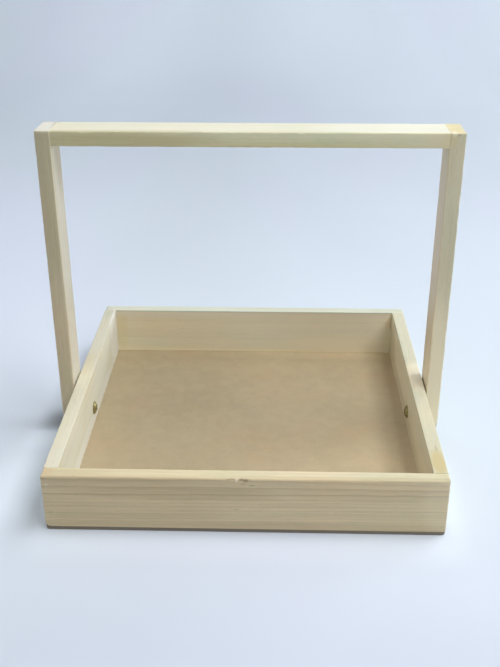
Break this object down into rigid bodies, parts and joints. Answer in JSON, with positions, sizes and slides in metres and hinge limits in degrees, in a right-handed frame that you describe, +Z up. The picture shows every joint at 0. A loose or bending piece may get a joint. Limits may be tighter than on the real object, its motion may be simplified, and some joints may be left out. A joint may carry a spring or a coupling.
{
  "type": "wooden serving tray",
  "caption": "Low square pine tray with a thin hardboard floor and an upright bail handle that swings on screws through the side boards.",
  "frame": {"origin": "on the surface that the tray stands on, under the middle of the tray", "axes": "+X to the right along the handle's hinge line, +Y to the back, +Z up with the handle upright"},
  "size_m": [0.327, 0.3, 0.269],
  "materials": {
    "frame_pine": "bare sanded pine with brown growth lines",
    "handle_pine": "bare sanded pine, paler than the frame",
    "hardboard": "smooth brown hardboard, slightly mottled",
    "yellow_zinc": "dull yellow zinc plating",
    "nail_steel": "plain steel wire, dulled"
  },
  "bodies": {
    "tray": {"front_board": "frame_pine", "back_board": "frame_pine", "left_side_board": "frame_pine", "right_side_board": "frame_pine", "bottom_panel": "hardboard", "corner_nail_front_left_lower": "nail_steel", "corner_nail_front_left_upper": "nail_steel", "corner_nail_front_right_lower": "nail_steel", "corner_nail_front_right_upper": "nail_steel", "corner_nail_back_left_lower": "nail_steel", "corner_nail_back_left_upper": "nail_steel", "corner_nail_back_right_lower": "nail_steel", "corner_nail_back_right_upper": "nail_steel", "panel_tack_front_1": "nail_steel", "panel_tack_front_2": "nail_steel", "panel_tack_front_3": "nail_steel", "panel_tack_front_4": "nail_steel", "panel_tack_back_1": "nail_steel", "panel_tack_back_2": "nail_steel", "panel_tack_back_3": "nail_steel", "panel_tack_back_4": "nail_steel", "panel_tack_left_1": "nail_steel", "panel_tack_left_2": "nail_steel", "panel_tack_left_3": "nail_steel", "panel_tack_left_4": "nail_steel", "panel_tack_right_1": "nail_steel", "panel_tack_right_2": "nail_steel", "panel_tack_right_3": "nail_steel", "panel_tack_right_4": "nail_steel"},
    "handle": {"left_leg": "handle_pine", "right_leg": "handle_pine", "crossbar": "handle_pine", "handle_nail_left_front": "nail_steel", "handle_nail_left_back": "nail_steel", "handle_nail_right_front": "nail_steel", "handle_nail_right_back": "nail_steel", "pivot_screw_left": "yellow_zinc", "spacer_washer_left": "yellow_zinc", "pivot_screw_right": "yellow_zinc", "spacer_washer_right": "yellow_zinc"}
  },
  "joints": [
    {"name": "handle_swing", "type": "hinge", "parent": "tray", "child": "handle", "pos_m": [0, 0, 0.017], "axis": [1, 0, 0], "range_deg": [-90, 90]}
  ]
}
